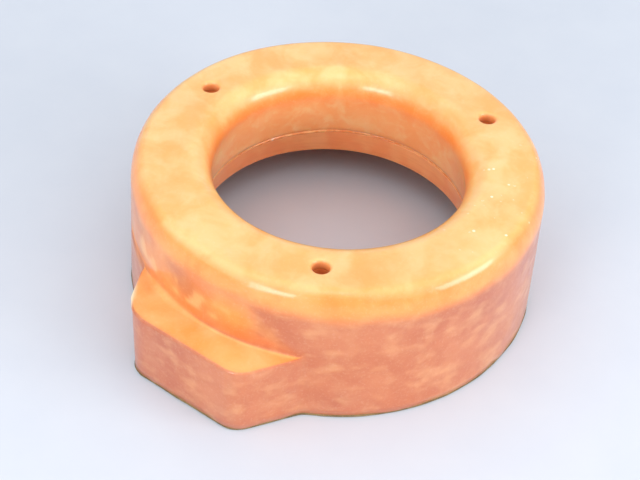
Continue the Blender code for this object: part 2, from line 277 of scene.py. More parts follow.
def inner_section(angle, outline_inside):
    """From the foot's inner edge up inside the cavity and down to the seam, behind the bore wall."""
    roof = LUG_HEIGHT - SKIN
    foot_radius = drafted(outline_inside, FOOT)
    reach = drafted(outline_inside, roof)
    low = [(foot_radius + 0.4 * MM, FOOT), (foot_radius, FOOT + 0.4 * MM)]
    low += line(low[-1], (reach, roof - 2 * MM), 8)[1:]
    wall = wall_radius(roof) - SKIN
    depth = reach - wall
    round_off = min(2 * MM, 0.45 * depth)
    over = ellipse((reach - round_off, roof - round_off), (round_off, round_off), 0, math.pi / 2, 4)
    over += line((reach - round_off, roof), (wall, roof), 4, last=True)[1:]
    over += line((wall, roof), (wall_radius(roof + 3 * MM) - SKIN, roof + 3 * MM), 2, last=True)[1:]
    plain = line((wall_radius(roof - 2 * MM) - SKIN, roof - 2 * MM), over[-1], len(over) - 1, last=True)
    share = smooth(0, 2.0 * MM, depth)
    points = low + [(mix(a[0], b[0], share), mix(a[1], b[1], share)) for a, b in zip(plain, over)]
    corner = (OUTER_CENTRE[0] - 2 * MM, OUTER_CENTRE[1])
    radii = (OUTER_ROUND[0] - SKIN + 2 * MM, OUTER_ROUND[1] - SKIN)
    points += line(points[-1], (corner[0] + radii[0], corner[1]), 5)[1:]
    points += ellipse(corner, radii, 0, math.pi / 2, 6)
    inner_radii = (INNER_ROUND[0] - BORE_WALL, INNER_ROUND[1] - SKIN)
    points += line(points[-1], (INNER_CENTRE[0], HEIGHT - SKIN), 5)[1:]
    points += ellipse(INNER_CENTRE, inner_radii, math.pi / 2, math.pi / 2, 6)
    seam = BEAD_HIGH.z + seam_shift(angle)
    points += line(points[-1], (bore_radius(seam) + BORE_WALL, seam), 6, last=True)[1:]
    return points


def bore_section(angle):
    """From the seam up the bore and over its rounded mouth to the flat top's outer end."""
    seam = BEAD_HIGH.z + seam_shift(angle)
    ease = 0.35 * MM * seam_groove(angle)
    points = [(bore_radius(seam) + ease, seam), (bore_radius(seam), seam + ease)]
    points += line(points[-1], (BORE_TOP_RADIUS, INNER_CENTRE[1]), 12)[1:]
    points += ellipse(INNER_CENTRE, INNER_ROUND, math.pi, -math.pi / 2, 14)
    points += line(points[-1], (OUTER_CENTRE[0], HEIGHT), 9)[1:]
    return points


def at_angle(radius, angle):
    """A point about the bore's axis, for an angle from the lug."""
    return Vector((radius * math.sin(angle), AXIS_Y - radius * math.cos(angle), 0))


def grid_mesh(name, columns):
    """Closed surface from columns of points round an axis, each column a closed section."""
    rows = len(columns[0])
    points = [p for column in columns for p in column]
    faces = []
    for i in range(len(columns)):
        j = (i + 1) % len(columns)
        for k in range(rows):
            n = (k + 1) % rows
            faces.append((i * rows + k, i * rows + n, j * rows + n, j * rows + k))
    mesh = bpy.data.meshes.new(name)
    mesh.from_pydata(points, [], faces)
    mesh.validate()
    bm = bmesh.new()
    bm.from_mesh(mesh)
    bmesh.ops.recalc_face_normals(bm, faces=bm.faces)
    bm.to_mesh(mesh)
    bm.free()
    return mesh


def add_piece(name, mesh, sharp=40):
    piece = bpy.data.objects.new(name, mesh)
    bpy.context.scene.collection.objects.link(piece)
    mesh.shade_smooth()
    mesh.set_sharp_from_angle(angle=math.radians(sharp))
    return piece


def ripple(point, scale, seed):
    """Smooth noise between about -1 and 1, with a feature size of about 1 / scale."""
    return noise.noise(Vector(point) * scale + Vector((seed, seed * 0.7, -seed)))


def roughen(mesh, amount):
    """Moves each point along its normal by amount(point), as an uneven cast surface."""
    normals = [v.normal.copy() for v in mesh.vertices]
    moved = [v.co + n * amount(v.co) for v, n in zip(mesh.vertices, normals)]
    for vertex, place in zip(mesh.vertices, moved):
        vertex.co = place


def polar(point):
    x = point[0]
    y = point[1] - AXIS_Y
    return math.hypot(x, y), math.atan2(x, -y)


def cast_surface(point):
    """Unevenness of the moulded shell: long waves, small dimples, lumps above the lug, an uneven
    foot, and a rougher inside."""
    radius, angle = polar(point)
    degrees = math.degrees(angle)
    amount = 0.16 * MM * ripple(point, 26, 3.1) + 0.05 * MM * ripple(point, 85, 7.7)
    near_lug = smooth(-33, -26, degrees) * (1 - smooth(24, 32, degrees))
    band = smooth(LUG_HEIGHT, LUG_HEIGHT + 3 * MM, point[2]) * (
        1 - smooth(LUG_HEIGHT + 10 * MM, LUG_HEIGHT + 16 * MM, point[2])
    )
    if radius > OUTER_CENTRE[0]:
        amount += near_lug * band * 0.35 * MM * ripple(point, 120, 11.3)
    if radius > wall_radius(point[2]) - 1.5 * MM:
        amount += (1 - smooth(FOOT, 9 * MM, point[2])) * 0.3 * MM * ripple(point, 120, 9.1)
    inside = point[2] < HEIGHT - 2 * MM and radius > bore_radius(point[2]) + 1.5 * MM
    if inside and radius < wall_radius(point[2]) - 1.5 * MM:
        amount += 0.15 * MM * ripple(point, 60, 5.5)
    return amount


def paint(mesh, name, share_at):
    """Stores a share from 0 to 1 at each point, for the material to read."""
    layer = mesh.attributes.new(name, "FLOAT", "POINT")
    for i, vertex in enumerate(mesh.vertices):
        layer.data[i].value = min(1.0, max(0.0, share_at(vertex.co)))


def bore_share(point):
    return 1 - smooth(60.5 * MM, 63.5 * MM, polar(point)[0])


def top_light_share(point):
    """Painted light: 1 on the flat top, coloured lighter as if lit from above, falling to 0 part of the way
    down both roundings.
    """
    height = point.z
    if polar(point)[0] < INNER_CENTRE[0]:
        share = (height - HEIGHT + INNER_ROUND[1]) / INNER_ROUND[1]
        return smooth(0.30, 0.85, share)
    share = (height - HEIGHT + OUTER_ROUND[1]) / OUTER_ROUND[1]
    on_ring = smooth(0.72, 1.02, share + 0.14 * ripple(point, 45, 6.2))
    return max(on_ring, (0.55 + 0.45 * ripple(point, 38, 8.1)) * lug_top_share(point))


def bend_shading_share(point):
    """Painted light and shade: the deeper orange of the outer rounding, which offsets the light it catches,
    running further down over the lug's left half as bounce light off the lug's top.
    """
    wander = 2.2 * MM * ripple(point, 55, 9.4)
    start = OUTER_CENTRE[1] + wander
    share = smooth(start - 3.2 * MM, start + 4.2 * MM, point.z)
    over_lug = lug_window(point, -46, 16) * smooth(LUG_HEIGHT, LUG_HEIGHT + 2 * MM, point.z)
    return max(share, lug_top_share(point), over_lug * (0.55 + 0.6 * ripple(point, 70, 3.7)))


def lug_top_share(point):
    """1 on the lug's flat top."""
    radius, angle = polar(point)
    past_wall = smooth(0, 0.8 * MM, radius - wall_radius(LUG_HEIGHT))
    from_edge = smooth(0.5 * MM, 1.6 * MM, lug_reach_at(angle) + 3.0 * MM * lip(angle) - radius)
    return past_wall * from_edge * smooth(LUG_HEIGHT - LUG_EDGE, LUG_HEIGHT - 0.3 * LUG_EDGE, point.z)


def deep_share(point):
    """The deep orange band on the bore, just under its rounded mouth."""
    middle = INNER_CENTRE[1] + 1.2 * MM + 1.5 * MM * ripple(point, 60, 5.1)
    band = math.exp(-(((point.z - middle) / (4.4 * MM)) ** 2))
    return bore_share(point) * band * (0.75 + 0.5 * ripple(point, 48, 2.8))


def skin_depth(point):
    """Where a point above the roundings' start lies: about 1 on the outside, well below inside."""
    radius = polar(point)[0]
    across = 0
    rise = (point.z - HEIGHT + OUTER_ROUND[1]) / OUTER_ROUND[1]
    if radius < INNER_CENTRE[0]:
        across = (INNER_CENTRE[0] - radius) / INNER_ROUND[0]
        rise = (point.z - HEIGHT + INNER_ROUND[1]) / INNER_ROUND[1]
    elif radius > OUTER_CENTRE[0]:
        across = (radius - OUTER_CENTRE[0]) / OUTER_ROUND[0]
    return math.hypot(across, max(0, rise))


def cavity_share(point):
    """1 on the hidden inner faces of the shell."""
    radius = polar(point)[0]
    height = point.z
    if height > OUTER_CENTRE[1]:
        return 1 - smooth(0.78, 0.88, skin_depth(point))
    if height < LUG_HEIGHT - SKIN and radius > BASE_RADIUS:
        return 0
    past_bore = smooth(bore_radius(height) + 1.5 * MM, bore_radius(height) + 3 * MM, radius)
    return past_bore * (1 - smooth(wall_radius(height) - 3 * MM, wall_radius(height) - 1.5 * MM, radius))


def lug_window(point, low, high):
    degrees = math.degrees(polar(point)[1])
    return smooth(low, low + 5, degrees) * (1 - smooth(high - 5, high, degrees))


def corner_shade_share(point):
    """Painted shade and bounce light: the deep orange in the corner above the lug, and the shaded end of the
    lug's top.
    """
    radius, angle = polar(point)
    height = point.z
    wander = 0.8 * MM * ripple(point, 110, 4.7)
    band = math.exp(-(((height - LUG_HEIGHT - 3.6 * MM - wander) / (2.2 * MM)) ** 2))
    on_wall = 1 - smooth(89.5 * MM, 91 * MM, radius)
    patchy = 0.7 + 0.6 * ripple(point, 90, 2.4)
    share = band * on_wall * lug_window(point, -28, 22) * patchy
    degrees = math.degrees(angle)
    end = smooth(-31, -25, degrees) * (1 - smooth(-21, -15, degrees))
    flat = smooth(LUG_HEIGHT - 1.5 * MM, LUG_HEIGHT - 0.5 * MM, height) * (1 - band * 0.5)
    on_lug = smooth(88 * MM, 89 * MM, radius) * (1 - smooth(92 * MM, 96 * MM, radius))
    return share + 0.35 * end * flat * on_lug


def lump_share(point):
    """Pale lumps on the wall above the lug."""
    height = point.z
    band = smooth(LUG_HEIGHT + 4.5 * MM, LUG_HEIGHT + 7 * MM, height)
    band *= 1 - smooth(LUG_HEIGHT + 12 * MM, LUG_HEIGHT + 16 * MM, height)
    return band * lug_window(point, -34, 12) * smooth(0.0, 0.35, ripple(point, 150, 11.3))


def flash_highlight_share(point):
    """The thin lip on the lug's left edge, with a painted highlight: coloured near white for the light it
    catches.
    """
    radius, angle = polar(point)
    edge = math.exp(-(((point.z - LUG_HEIGHT) / (1.0 * MM)) ** 2))
    return lip(angle) ** 0.5 * edge * smooth(0.4 * MM, 2.2 * MM, radius - lug_reach_at(angle))


def lug_reach_at(angle):
    return drafted(outline_radius(OUTLINE, angle, BASE_RADIUS), LUG_HEIGHT)


def sparkle_share(point):
    """1 where glints of glass show in one stretch of the flat top."""
    radius, angle = polar(point)
    degrees = math.degrees(angle)
    stretch = smooth(66, 80, degrees) * (1 - smooth(124, 136, degrees))
    return stretch * smooth(HEIGHT - 3 * MM, HEIGHT - 1 * MM, point.z) * smooth(58 * MM, 64 * MM, radius)


def matt_share(point):
    """1 in the corner between the lug's top and the wall, which is duller."""
    radius = polar(point)[0] - wall_radius(LUG_HEIGHT)
    near = math.hypot(max(0, radius), point.z - LUG_HEIGHT)
    return (1 - smooth(1.2 * MM, 4.5 * MM, near)) * lug_window(point, -46, 30)


def pit_shade_share(point):
    """Painted shade: a small pit on the outer rounding, coloured dark."""
    place = at_angle(PIT_RADIUS, PIT_ANGLE) + Vector((0, 0, HEIGHT - 2 * MM))
    return math.exp(-(((point - place).length / PIT_SIZE) ** 2))


def hole_light_share(point):
    """Painted light: 1 inside a screw hole, whose sides are coloured pale to lift their shade."""
    nearest = min(
        math.hypot(
            point.x - HOLE_CIRCLE_RADIUS * math.cos(a), point.y - AXIS_Y - HOLE_CIRCLE_RADIUS * math.sin(a)
        )
        for a in HOLE_ANGLES
    )
    inside = 1 - smooth(HOLE_RADIUS, HOLE_RADIUS + HOLE_RIM, nearest)
    return inside * smooth(0, 0.8 * MM, HEIGHT - point.z)


def hole_cutter(angle):
    """A turned cutter for a screw hole, with an eased rim."""
    section = [(HOLE_RADIUS, HEIGHT - 4 * SKIN), (HOLE_RADIUS, HEIGHT - HOLE_RIM)]
    rim_centre = (HOLE_RADIUS + HOLE_RIM, HEIGHT - HOLE_RIM)
    section += ellipse(rim_centre, (HOLE_RIM, HOLE_RIM), math.pi, -math.pi / 2, 6)[1:]
    section.append((HOLE_RADIUS + 2 * HOLE_RIM, HEIGHT + 0.35 * MM))
    section.append((HOLE_RADIUS + 2 * HOLE_RIM, HEIGHT + 3 * MM))
    steps = 40
    bm = bmesh.new()
    loops = []
    turns = [2 * math.pi * i / steps for i in range(steps)]
    for radius, height in section:
        loops.append([bm.verts.new((radius * math.cos(a), radius * math.sin(a), height)) for a in turns])
    for low, high in zip(loops, loops[1:]):
        for i in range(steps):
            n = (i + 1) % steps
            bm.faces.new((low[i], low[n], high[n], high[i]))
    bm.faces.new(list(reversed(loops[0])))
    bm.faces.new(loops[-1])
    bmesh.ops.recalc_face_normals(bm, faces=bm.faces)
    place = Matrix.Translation(
        (HOLE_CIRCLE_RADIUS * math.cos(angle), AXIS_Y + HOLE_CIRCLE_RADIUS * math.sin(angle), 0)
    )
    bm.transform(place)
    mesh = bpy.data.meshes.new("hole_cutter")
    bm.to_mesh(mesh)
    bm.free()
    cutter = bpy.data.objects.new("hole_cutter", mesh)
    bpy.context.scene.collection.objects.link(cutter)
    return cutter


def cut_and_apply(piece, cutters):
    for cutter in cutters:
        modifier = piece.modifiers.new("cut", "BOOLEAN")
        modifier.operation = "DIFFERENCE"
        modifier.solver = "EXACT"
        modifier.object = cutter
    graph = bpy.context.evaluated_depsgraph_get()
    mesh = bpy.data.meshes.new_from_object(piece.evaluated_get(graph))
    piece.modifiers.clear()
    piece.data = mesh
    for cutter in cutters:
        bpy.data.objects.remove(cutter)


def bulged(radius, height, outline, flash):
    """Moves a point of the lug's left corner out: a swelling of the side face that grows with height,
    and a thin lip on its top edge."""
    depth = radius - wall_radius(height)
    if flash == 0 or depth < 0.4 * MM or height > LUG_HEIGHT + 0.5 * MM:
        return radius, height
    outermost = smooth(-5.0 * MM, 0, radius - drafted(outline, height))
    swelling = 1.7 * MM * smooth(0, LUG_HEIGHT, height)
    thin = 1.3 * MM * math.exp(-(((LUG_HEIGHT - height) / (1.3 * MM)) ** 2))
    out = flash * (swelling + thin) * outermost * smooth(0.4 * MM, 3 * MM, depth)
    return radius + out, height + 0.12 * thin * flash * outermost


def make_shell():
    inside = outline_table(SKIN)
    columns = []
    for angle in ring_angles():
        outline = outline_radius(OUTLINE, angle, BASE_RADIUS)
        outline_in = outline_radius(inside, angle, BASE_RADIUS - SKIN)
        outer = outer_section(angle, outline)
        section = [bulged(radius, height, outline, lip(angle)) for radius, height in outer]
        section += inner_section(angle, outline_in)
        section += bore_section(angle)[:-1]
        columns.append([at_angle(r, angle) + Vector((0, 0, z)) for r, z in section])
    mesh = grid_mesh("shell_skin", columns)
    roughen(mesh, cast_surface)
    piece = add_piece("shell_skin", mesh, SHELL_SHARP)
    cut_and_apply(piece, [hole_cutter(a) for a in HOLE_ANGLES])
    piece.data.shade_smooth()
    piece.data.set_sharp_from_angle(angle=math.radians(SHELL_SHARP))
    for name, share_at in SHELL_PAINT.items():
        paint(piece.data, name, share_at)
    return piece


SHELL_PAINT = {
    "top": top_light_share,
    "bend_shading": bend_shading_share,
    "deep": deep_share,
    "bore": bore_share,
    "cavity": cavity_share,
    "corner_shade": corner_shade_share,
    "lumps": lump_share,
    "flash": flash_highlight_share,
    "hole": hole_light_share,
    "sparkle": sparkle_share,
    "pit": pit_shade_share,
    "matt": matt_share,
}


# ---------------------------------------------------------------------------------------------
# Rings inside the bore
# ---------------------------------------------------------------------------------------------


def ring_piece(name, section_at, steps, amount=None, sharp=45):
    """A closed ring whose section may change with the angle."""
    columns = []
    for i in range(steps):
        angle = 2 * math.pi * i / steps
        columns.append([at_angle(r, angle) + Vector((0, 0, z)) for r, z in section_at(angle)])
    mesh = grid_mesh(name, columns)
    if amount:
        roughen(mesh, amount)
    return add_piece(name, mesh, sharp)


def make_collar():
    low = COLLAR_LOW.z
    high = COLLAR_HIGH.z
    ease = 1.0 * MM
    inner_low = bore_radius(low)
    inner_high = bore_radius(high)

    def section(angle):
        top = high + seam_shift(angle) + 0.15 * MM
        edge = 0.3 * MM * seam_groove(angle)
        points = line((inner_low, low + ease), (inner_high, top - edge), 6, last=True)
        points.append((inner_high + edge, top))
        points += line((inner_high + 1.2 * MM, top), (inner_high + BORE_WALL, top), 2, last=True)
        back_top = (inner_high + BORE_WALL, top - 0.2 * MM)
        points += line(back_top, (inner_low + BORE_WALL, low + ease), 4, last=True)
        outer = (inner_low + BORE_WALL - ease, low + ease)
        inner = (inner_low + ease, low + ease)
        points += ellipse(outer, (ease, ease), 0, -math.pi / 2, 4)[1:]
        points += ellipse(inner, (ease, ease), -math.pi / 2, -math.pi / 2, 4)[:-1]
        return points

    def amount(point):
        return 0.07 * MM * ripple(point, 45, 2.2)

    return ring_piece("collar_skin", section, 180, amount)


def make_bead():
    """A ragged line of squeezed-out adhesive that stands proud of the bore wall."""
    low = BEAD_LOW.z
    high = BEAD_HIGH.z
    middle = (low + high) / 2

    def section(angle):
        centre = at_angle(bore_radius(middle), angle)
        shows = seam_shows(angle)
        ragged = 0.3 + 0.7 * shows
        wander = ragged * (0.28 * MM * ripple(centre, 130, 1.3) + 0.15 * MM * ripple(centre, 420, 4.1))
        proud = 0.10 * MM * seam_groove(angle) + 0.38 * MM * shows
        proud += ragged * (0.26 * MM * ripple(centre, 170, 8.8) + 0.2 * MM * ripple(centre, 600, 2.9))
        half = (high - low) / 2 + 0.25 * MM * ragged * (1 + ripple(centre, 220, 6.6))
        outer = bore_radius(middle) + BORE_WALL
        centre_height = middle + wander + seam_shift(angle)
        points = [(outer, low + seam_shift(angle)), (outer, high + seam_shift(angle))]
        inner = bore_radius(middle) + 0.35 * MM
        reach = max(0.2 * MM, proud + 0.35 * MM)
        return points + ellipse((inner, centre_height), (reach, half), math.pi / 2, math.pi, 8)

    piece = ring_piece("bead_skin", section, 360, sharp=80)
    paint(piece.data, "glint", glint_share)
    return piece


def glint_share(point):
    """Pale bright spots where the adhesive's ragged end stands proud."""
    turn = math.degrees(polar(point)[1]) % 360
    stretch = smooth(243, 247, turn) * (1 - smooth(253, 258, turn))
    return 0.75 * stretch * smooth(0.0, 0.35, ripple(point, 430, 5.7))


def make_strap():
    """Resin-soaked glass mat over the joint, wrapped by hand, so that its edges wander."""
    low = STRAP_LOW.z
    high = STRAP_HIGH.z

    def section(angle):
        centre = at_angle(bore_radius(low), angle)
        foot = low + 0.7 * MM * ripple(centre, 60, 3.3) + 0.25 * MM * ripple(centre, 300, 9.3)
        top = high + 0.8 * MM * ripple(centre, 50, 5.3) + 0.25 * MM * ripple(centre, 280, 1.9)
        back = 0.15 * MM
        points = []
        for i in range(7):
            height = mix(top, foot, i / 6)
            taper = 1 - 0.45 * (abs(i - 3) / 3) ** 3
            points.append((bore_radius(height) + BORE_WALL + back + STRAP * taper, height))
        for i in range(4):
            height = mix(foot, top, i / 3)
            points.append((bore_radius(height) + BORE_WALL + back, height))
        return points

    def amount(point):
        return 0.12 * MM * ripple(point, 190, 4.4)

    return ring_piece("strap_skin", section, 240, amount, 50)


def make_gasket():
    """Foam strip under the foot, slightly squeezed out past the wall, with a soft uneven edge."""
    inset = 0.2 * MM
    outside = outline_table(inset)
    inside = outline_table(GASKET_WIDTH)
    top = GASKET_HIGH.z + 0.15 * MM
    columns = []
    for angle in ring_angles():
        outer = outline_radius(outside, angle, BASE_RADIUS - inset)
        inner = outline_radius(inside, angle, BASE_RADIUS - GASKET_WIDTH)
        place = at_angle(outer, angle)
        outer += 0.22 * MM * ripple(place, 140, 2.6) + 0.1 * MM * ripple(place, 500, 7.1)
        inner += 0.3 * MM * ripple(place, 110, 5.9)
        bulge = 0.3 * MM
        points = line((inner, top), (outer - 0.3 * MM, top), 4, last=True)
        points += [(outer + 0.6 * bulge, 0.72 * top), (outer + bulge, 0.45 * top)]
        points.append((outer + 0.5 * bulge, 0.15 * top))
        points += line((outer - 0.3 * MM, 0), (inner + 0.3 * MM, 0), 4, last=True)
        points += [(inner - 0.2 * MM, 0.3 * top), (inner - 0.2 * MM, 0.7 * top)]
        columns.append([at_angle(r, angle) + Vector((0, 0, z)) for r, z in points])
    return add_piece("gasket_skin", grid_mesh("gasket_skin", columns), 60)


# ---------------------------------------------------------------------------------------------
# Materials
# ---------------------------------------------------------------------------------------------


class Surface:
    """A Principled material and short calls for the nodes that feed it."""

    def __init__(self, name):
        self.material = bpy.data.materials.new(name)
        self.material.use_nodes = True
        self.tree = self.material.node_tree
        self.shader = self.tree.nodes["Principled BSDF"]
        self.place = self.tree.nodes.new("ShaderNodeTexCoord").outputs["Object"]

    def node(self, kind, **settings):
        made = self.tree.nodes.new(kind)
        for key, value in settings.items():
            setattr(made, key, value)
        return made

    def link(self, source, target):
        self.tree.links.new(source, target)

    def set(self, **values):
        for key, value in values.items():
            self.shader.inputs[key.replace("_", " ").title()].default_value = value

    def noise(self, scale, detail=3.0, roughness=0.55, distortion=0.0, stretch=None):
        made = self.node("ShaderNodeTexNoise")
        made.inputs["Scale"].default_value = scale
        made.inputs["Detail"].default_value = detail
        made.inputs["Roughness"].default_value = roughness
        made.inputs["Distortion"].default_value = distortion
        source = self.place
        if stretch:
            mapping = self.node("ShaderNodeMapping")
            mapping.inputs["Scale"].default_value = stretch
            self.link(self.place, mapping.inputs["Vector"])
            source = mapping.outputs["Vector"]
        self.link(source, made.inputs["Vector"])
        return made.outputs["Fac"]

    def cells(self, scale):
        made = self.node("ShaderNodeTexVoronoi")
        made.inputs["Scale"].default_value = scale
        self.link(self.place, made.inputs["Vector"])
        return made.outputs["Distance"]

    def remap(self, value, low, high, to_low=0.0, to_high=1.0):
        made = self.node("ShaderNodeMapRange", interpolation_type="SMOOTHSTEP")
        made.inputs["From Min"].default_value = low
        made.inputs["From Max"].default_value = high
        made.inputs["To Min"].default_value = to_low
        made.inputs["To Max"].default_value = to_high
        self.link(value, made.inputs["Value"])
        return made.outputs["Result"]

    def math(self, operation, a, b):
        made = self.node("ShaderNodeMath", operation=operation)
        for socket, value in zip(made.inputs, (a, b)):
            if isinstance(value, (int, float)):
                socket.default_value = value
            else:
                self.link(value, socket)
        return made.outputs["Value"]

    def mix(self, share, a, b):
        made = self.node("ShaderNodeMix", data_type="RGBA")
        sockets = [s for s in made.inputs if s.type == "RGBA"]
        self.link(share, made.inputs[0])
        for socket, value in zip(sockets, (a, b)):
            if isinstance(value, tuple):
                socket.default_value = (*value, 1.0)
            else:
                self.link(value, socket)
        return made.outputs[2]

    def axis(self, name):
        made = self.node("ShaderNodeSeparateXYZ")
        self.link(self.place, made.inputs["Vector"])
        return made.outputs[name]

    def painted(self, name):
        return self.node("ShaderNodeAttribute", attribute_name=name).outputs["Fac"]

    def colour(self, source):
        self.link(source, self.shader.inputs["Base Color"])

    def roughness(self, source):
        self.link(source, self.shader.inputs["Roughness"])

    def bump(self, heights):
        """Chains bumps: each is (height, strength, distance)."""
        last = None
        for height, strength, distance in heights:
            made = self.node("ShaderNodeBump")
            made.inputs["Strength"].default_value = strength
            made.inputs["Distance"].default_value = distance
            self.link(height, made.inputs["Height"])
            if last:
                self.link(last, made.inputs["Normal"])
            last = made.outputs["Normal"]
        self.link(last, self.shader.inputs["Normal"])


def srgb(red, green, blue):
    """Linear colour from 0-255 sRGB."""
    out = []
    for value in (red, green, blue):
        v = value / 255
        out.append(v / 12.92 if v <= 0.04045 else ((v + 0.055) / 1.055) ** 2.4)
    return tuple(out)


def translucent(surface, weight, scale):
    surface.set(subsurface_weight=weight, subsurface_radius=(1.0, 0.35, 0.12), subsurface_scale=scale)


def moulded_resin():
    s = Surface("moulded_resin")
    clouds = s.remap(s.noise(58, 3, 0.55, 0.4), 0.34, 0.66)
    patches = s.remap(s.noise(120, 4, 0.62, 0.5), 0.42, 0.70)
    smears = s.remap(s.noise(95, 2, 0.45, 0.1, (1.0, 1.0, 1.7)), 0.46, 0.76)
    broad = s.remap(s.noise(16, 2, 0.5), 0.35, 0.65)
    fine = s.noise(900, 2, 0.6)
    # Painted light: the top's lighter, yellower colour stands in for light from above
    top = s.mix(clouds, srgb(250, 184, 104), srgb(253, 206, 138))
    # Painted light and shade: the rounding's deeper orange offsets the light it catches; above the lug it is
    # bounce light off the lug's top
    bend_shading = s.mix(clouds, srgb(248, 148, 68), srgb(250, 166, 90))
    # Painted shade and reflection: the wall's darker pink stands in for less light and a reflected blue floor
    wall = s.mix(clouds, srgb(190, 105, 73), srgb(200, 119, 84))
    smeared = s.mix(s.math("MULTIPLY", smears, 0.5), wall, srgb(226, 168, 120))
    outside = s.mix(s.painted("bend_shading"), smeared, bend_shading)
    # Painted light: the bore's brighter orange stands in for more light reaching inside it
    bore = s.mix(clouds, srgb(254, 164, 90), srgb(255, 178, 108))
    bore = s.mix(s.math("MULTIPLY", patches, 0.6), bore, srgb(255, 206, 140))
    bore = s.mix(s.math("MULTIPLY", s.painted("deep"), 0.9), bore, srgb(254, 144, 64))
    sides = s.mix(s.painted("bore"), outside, bore)
    base = s.mix(s.painted("top"), sides, top)
    patch_weight = s.math("ADD", s.math("MULTIPLY", s.painted("top"), 0.14), 0.06)
    pale = s.mix(s.math("MULTIPLY", patches, patch_weight), base, srgb(254, 222, 168))
    deep = s.mix(s.math("MULTIPLY", broad, 0.16), pale, srgb(246, 146, 70))
    # Painted shade and bounce light: deep orange in the corner between the lug's top and the wall
    corner_shade = s.mix(s.math("MULTIPLY", s.painted("corner_shade"), 0.66), deep, srgb(244, 122, 50))
    lumps = s.mix(s.math("MULTIPLY", s.painted("lumps"), 0.45), corner_shade, srgb(254, 206, 140))
    # Painted highlight: near white on the thin lip of the lug's left edge
    flash = s.mix(s.painted("flash"), lumps, srgb(255, 232, 196))
    # Painted light: the screw holes' sides are coloured pale to lift their shade
    hole = s.mix(s.painted("hole"), flash, srgb(255, 176, 112))
    cavity = s.mix(s.math("MULTIPLY", s.painted("cavity"), 0.6), hole, srgb(226, 128, 70))
    grain = s.mix(s.math("MULTIPLY", s.remap(fine, 0.5, 0.75), 0.06), cavity, srgb(255, 236, 205))
    # Painted glints: near-white specks on one stretch of the top stand in for sparkle off glass
    specks = s.remap(s.cells(330), 0.15, 0.26, 1.0, 0.0)
    where = s.math("MULTIPLY", s.painted("sparkle"), s.remap(s.noise(150, 2, 0.5), 0.55, 0.62))
    glints = s.math("MULTIPLY", specks, where)
    glinted = s.mix(s.math("MULTIPLY", glints, 0.8), grain, srgb(255, 252, 228))
    # Painted shade: rare dark dots stand in for tiny pits
    pits = s.remap(s.cells(72), 0.028, 0.045, 1.0, 0.0)
    rare = s.remap(s.noise(45, 2), 0.60, 0.64)
    dark = s.math("MULTIPLY", pits, rare)
    pit_shaded = s.mix(s.math("MULTIPLY", dark, 0.28), glinted, srgb(150, 84, 40))
    # Painted shade of the small pit on the outer rounding
    s.colour(s.mix(s.math("MULTIPLY", s.painted("pit"), 0.8), pit_shaded, srgb(140, 74, 34)))
    satin = s.remap(s.noise(120, 4, 0.6), 0.3, 0.7, LOWEST_SATIN, 0.40)
    s.roughness(s.math("ADD", satin, s.math("MULTIPLY", s.painted("matt"), 0.3)))
    s.bump([(s.noise(60, 2, 0.5), 0.15, 0.0006), (s.noise(200, 1, 0.5), 0.06, 0.0001), (glints, 0.4, 0.0002)])
    s.set(coat_roughness=0.07)
    s.link(s.remap(s.painted("matt"), 0, 1, 0.45, 0.05), s.shader.inputs["Coat Weight"])
    translucent(s, 0.22, 0.0035)
    return s.material


def collar_resin():
    s = Surface("collar_resin")
    clouds = s.remap(s.noise(70, 3, 0.55, 0.4), 0.36, 0.64)
    base = s.mix(clouds, srgb(252, 156, 90), srgb(255, 174, 108))
    drawn = s.remap(s.noise(60, 3, 0.6, 0.0, (1, 1, 9)), 0.4, 0.7)
    s.colour(s.mix(s.math("MULTIPLY", drawn, 0.2), base, srgb(226, 122, 66)))
    s.roughness(s.remap(s.noise(150, 3), 0.3, 0.7, LOWEST_SATIN, 0.35))
    s.bump([(s.noise(90, 3), 0.2, 0.0004), (s.noise(500, 3), 0.12, 0.00008)])
    s.set(coat_weight=0.2, coat_roughness=0.12)
    translucent(s, 0.2, 0.003)
    return s.material


def bead_resin():
    s = Surface("bead_resin")
    clouds = s.remap(s.noise(240, 4, 0.65, 0.5), 0.36, 0.66)
    base = s.mix(clouds, srgb(242, 146, 82), srgb(252, 182, 118))
    # Painted glints: near-white spots on the adhesive's ragged end
    s.colour(s.mix(s.painted("glint"), base, srgb(255, 244, 226)))
    s.roughness(s.remap(s.noise(400, 3), 0.3, 0.7, 0.10, 0.26))
    s.bump([(s.noise(500, 4, 0.6), 0.4, 0.0003)])
    s.set(coat_weight=0.4, coat_roughness=0.08)
    translucent(s, 0.25, 0.003)
    return s.material


def laminating_resin():
    s = Surface("laminating_resin")
    clouds = s.remap(s.noise(130, 4, 0.6, 0.8), 0.36, 0.64)
    base = s.mix(clouds, srgb(212, 140, 74), srgb(236, 178, 112))
    bubbles = s.remap(s.cells(650), 0.06, 0.16, 1.0, 0.0)
    s.colour(s.mix(s.math("MULTIPLY", bubbles, 0.5), base, srgb(250, 222, 176)))
    s.roughness(s.remap(s.noise(220, 3), 0.3, 0.7, LOWEST_SATIN, 0.42))
    s.bump([(s.noise(120, 3), 0.35, 0.0007), (bubbles, 0.3, 0.00015)])
    s.set(coat_weight=0.2, coat_roughness=0.14)
    translucent(s, 0.2, 0.003)
    return s.material


